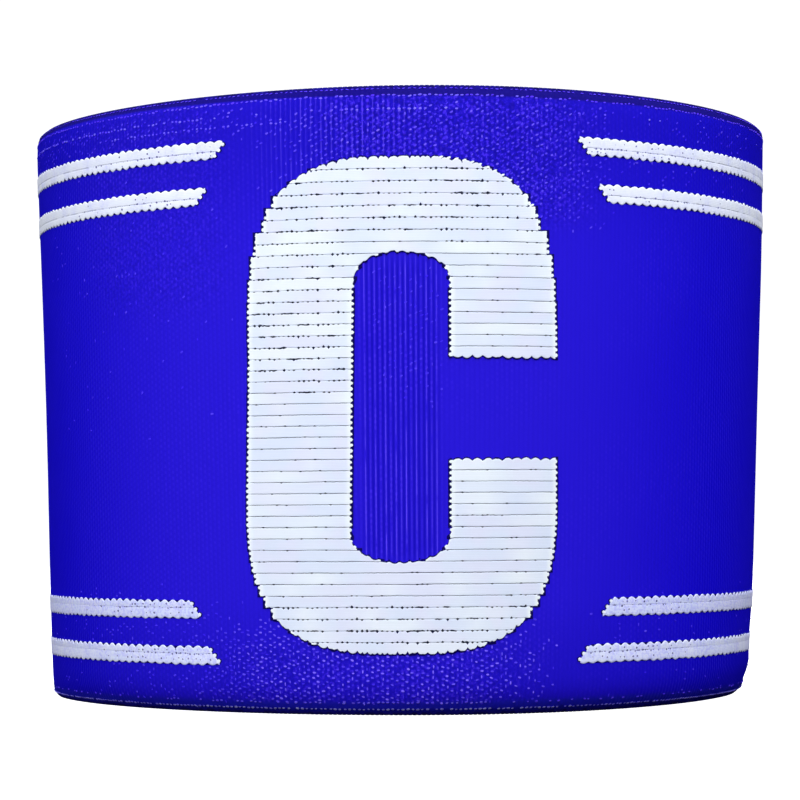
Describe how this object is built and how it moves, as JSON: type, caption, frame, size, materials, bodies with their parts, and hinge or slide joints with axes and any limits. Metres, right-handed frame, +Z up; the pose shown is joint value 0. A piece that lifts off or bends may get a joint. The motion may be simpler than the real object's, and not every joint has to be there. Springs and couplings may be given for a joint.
{
  "type": "captain armband",
  "caption": "Tube of thick elastic webbing for the upper arm, slightly wider at the top, with a big white letter at the front and thin white stripes along both rims.",
  "frame": {"origin": "centre of the tube's lower rim, on the surface that the armband stands on", "axes": "+Z up along the tube's axis, the letter at the front facing -Y, the lap seam at the back on +Y, the wearer's view of the letter from -Y has +X to the right"},
  "size_m": [0.092, 0.093, 0.07],
  "materials": {
    "webbing": "matt royal blue elastic jacquard webbing with fine ribs",
    "white_yarn": "matt white woven yarn in fine rows"
  },
  "bodies": {
    "root": {"band_webbing": "webbing", "captain_letter": "white_yarn", "stripe_upper_outer_left": "white_yarn", "stripe_upper_outer_right": "white_yarn", "stripe_upper_inner_left": "white_yarn", "stripe_upper_inner_right": "white_yarn", "stripe_lower_inner_left": "white_yarn", "stripe_lower_inner_right": "white_yarn", "stripe_lower_outer_left": "white_yarn", "stripe_lower_outer_right": "white_yarn"}
  },
  "joints": []
}
